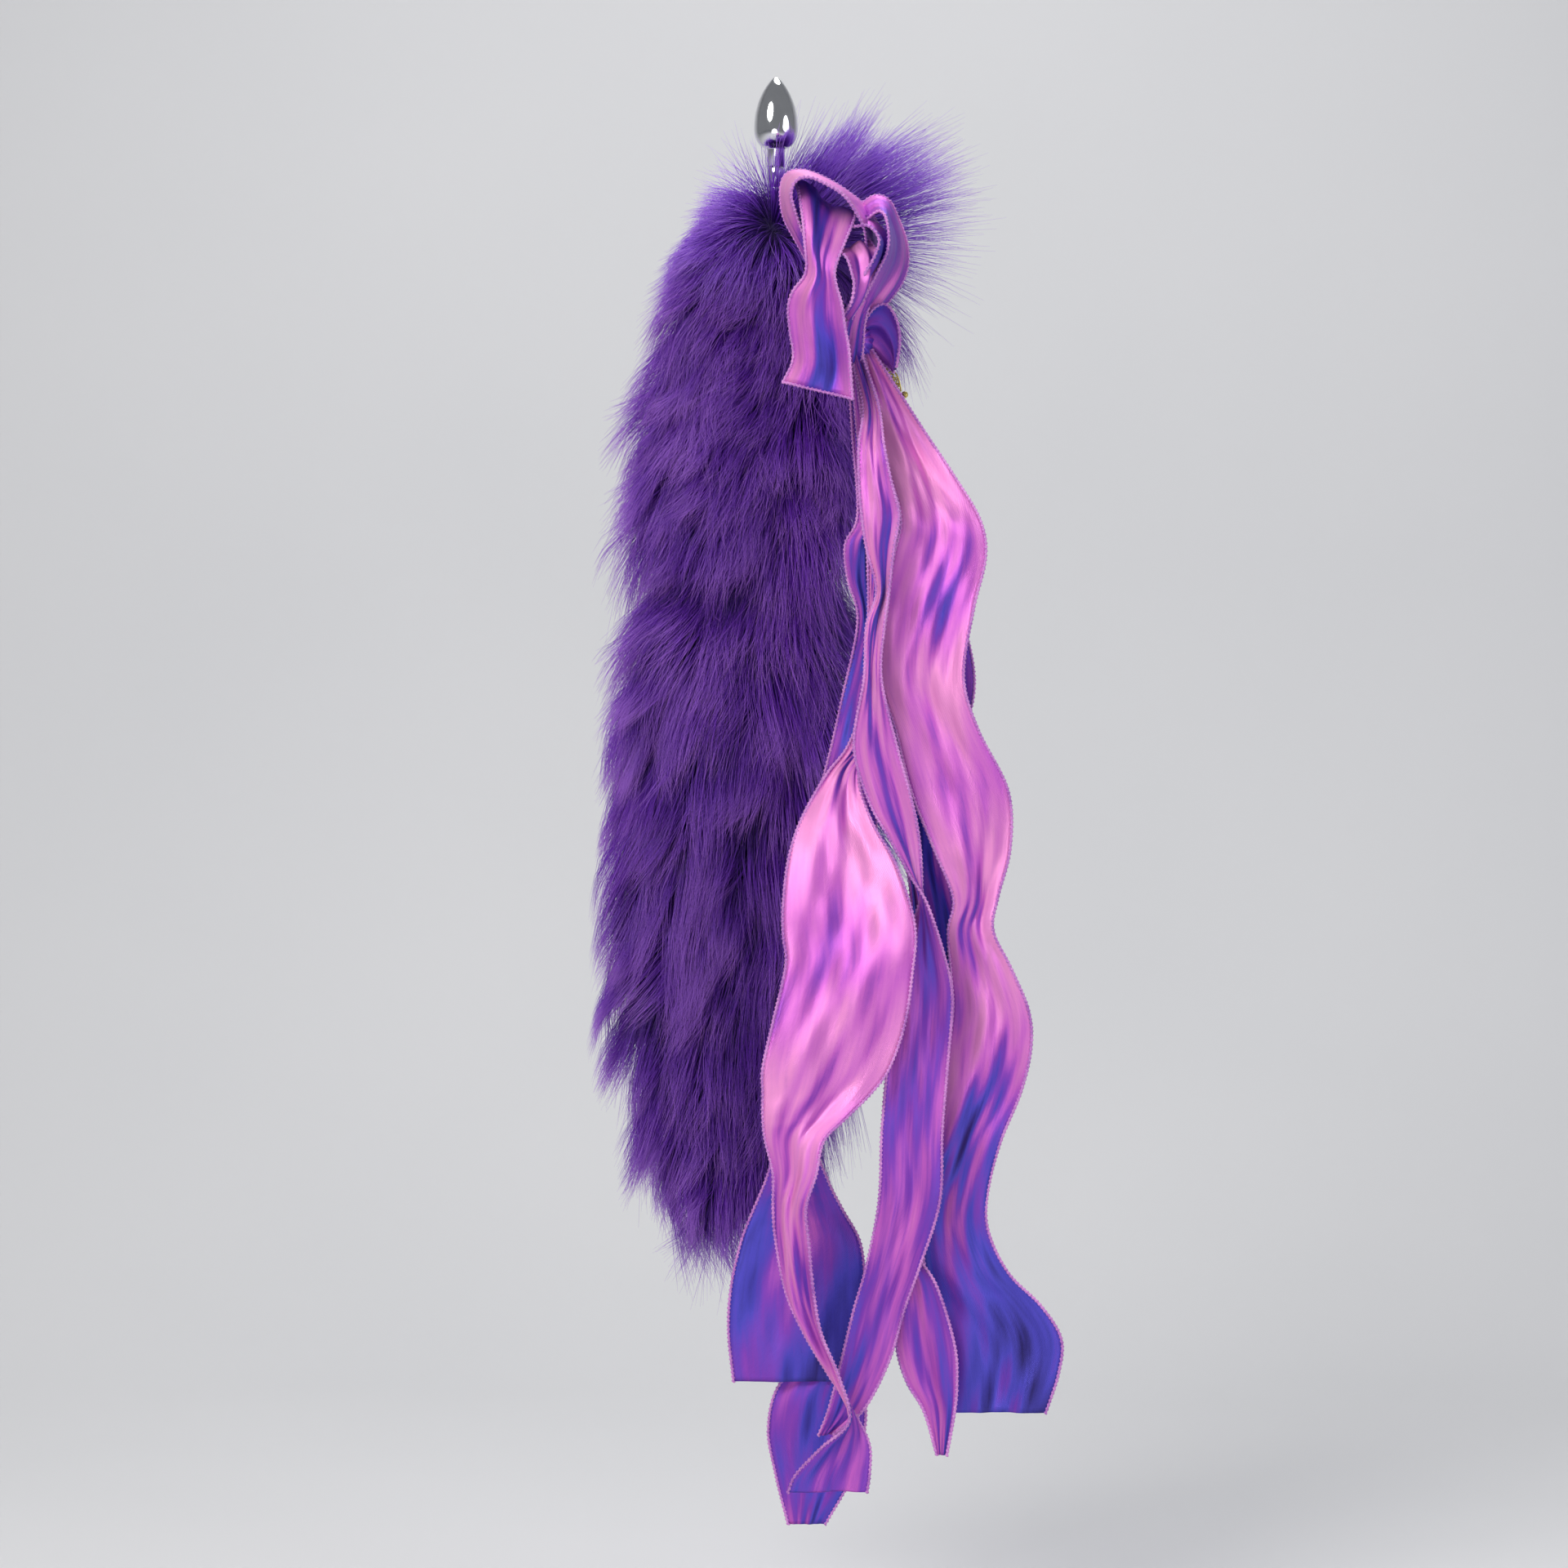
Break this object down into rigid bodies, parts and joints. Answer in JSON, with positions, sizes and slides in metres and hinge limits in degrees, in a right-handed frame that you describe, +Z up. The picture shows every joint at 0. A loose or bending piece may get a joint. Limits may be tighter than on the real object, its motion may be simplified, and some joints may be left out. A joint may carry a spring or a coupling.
{
  "type": "fur costume tail",
  "caption": "Dyed fur costume tail on a turned metal plug, with a wired-ribbon bow, long ribbon streamers and a small filigree charm.",
  "frame": {"origin": "on the plug's axis at its neck, where the tail is held and hangs from", "axes": "+Z up along the plug towards its tip, -Y is the front with the bow and streamers, +X is the viewer's right from the front"},
  "size_m": [0.1802, 0.1404, 0.5935],
  "materials": {
    "polished_steel": "mirror polish",
    "violet_fur": "dyed long-haired fur, glossy guard hairs over dense under-fur",
    "pelt_hide": "tanned hide, suede side in",
    "core_cord": "braided cord",
    "sewing_thread": "waxed thread",
    "shot_ribbon": "shot satin, pink over blue, with merrowed wired edges",
    "gilt_brass": "bright gilt"
  },
  "bodies": {
    "plug": {"plug_body": "polished_steel"},
    "ferrule": {"ferrule": "polished_steel", "screw_stud": "polished_steel", "cord_end_in_ferrule": "core_cord"},
    "tail_upper": {"core_cord_upper": "core_cord", "hide_tube_upper": "pelt_hide", "hide_seam_upper": "sewing_thread", "neck_binding": "sewing_thread", "fur_crown": "violet_fur", "fur_upper": "violet_fur", "bow_knot": "shot_ribbon", "bow_tie_wire": "polished_steel", "bow_stitch_thread": "sewing_thread", "bow_loop_top": "shot_ribbon", "bow_loop_lower_left": "shot_ribbon", "bow_loop_right": "shot_ribbon", "bow_loop_lower_right": "shot_ribbon", "bow_loop_centre": "shot_ribbon", "charm_jump_ring": "gilt_brass"},
    "tail_lower": {"core_cord_lower": "core_cord", "hide_tube_lower": "pelt_hide", "hide_seam_lower": "sewing_thread", "fur_lower": "violet_fur"},
    "streamers_back": {"streamer_back": "shot_ribbon", "streamer_back_left": "shot_ribbon"},
    "streamers_right": {"streamer_right": "shot_ribbon"},
    "streamers_left": {"streamer_left": "shot_ribbon"},
    "streamers_middle": {"streamer_middle": "shot_ribbon", "streamer_small": "shot_ribbon"},
    "charm": {"charm_bail": "gilt_brass", "charm_filigree": "gilt_brass", "charm_bead": "gilt_brass"}
  },
  "joints": [
    {"name": "tail_turn", "type": "hinge", "parent": "plug", "child": "ferrule", "pos_m": [0, 0, -0.01], "axis": [0, 0, 1], "continuous": true},
    {"name": "tail_swing", "type": "hinge", "parent": "ferrule", "child": "tail_upper", "pos_m": [0, 0, -0.0228], "axis": [0, 1, 0], "range_deg": [-22, 22]},
    {"name": "tail_bend", "type": "hinge", "parent": "tail_upper", "child": "tail_lower", "pos_m": [-0.01568, 0, -0.17198], "axis": [0, 1, 0], "range_deg": [-28, 28]},
    {"name": "streamers_back_swing", "type": "hinge", "parent": "tail_upper", "child": "streamers_back", "pos_m": [0.033, -0.045, -0.088], "axis": [0, 1, 0], "range_deg": [0, 20]},
    {"name": "streamer_right_swing", "type": "hinge", "parent": "tail_upper", "child": "streamers_right", "pos_m": [0.033, -0.045, -0.088], "axis": [0, 1, 0], "range_deg": [-25, 0]},
    {"name": "streamer_left_swing", "type": "hinge", "parent": "tail_upper", "child": "streamers_left", "pos_m": [0.033, -0.045, -0.088], "axis": [0, 1, 0], "range_deg": [0, 25]},
    {"name": "streamer_middle_swing", "type": "hinge", "parent": "tail_upper", "child": "streamers_middle", "pos_m": [0.033, -0.045, -0.088], "axis": [0, 1, 0], "range_deg": [-20, 0]},
    {"name": "charm_swing", "type": "hinge", "parent": "tail_upper", "child": "charm", "pos_m": [0.0395, -0.0336, -0.096], "axis": [0, 1, 0], "range_deg": [-40, 0]}
  ]
}
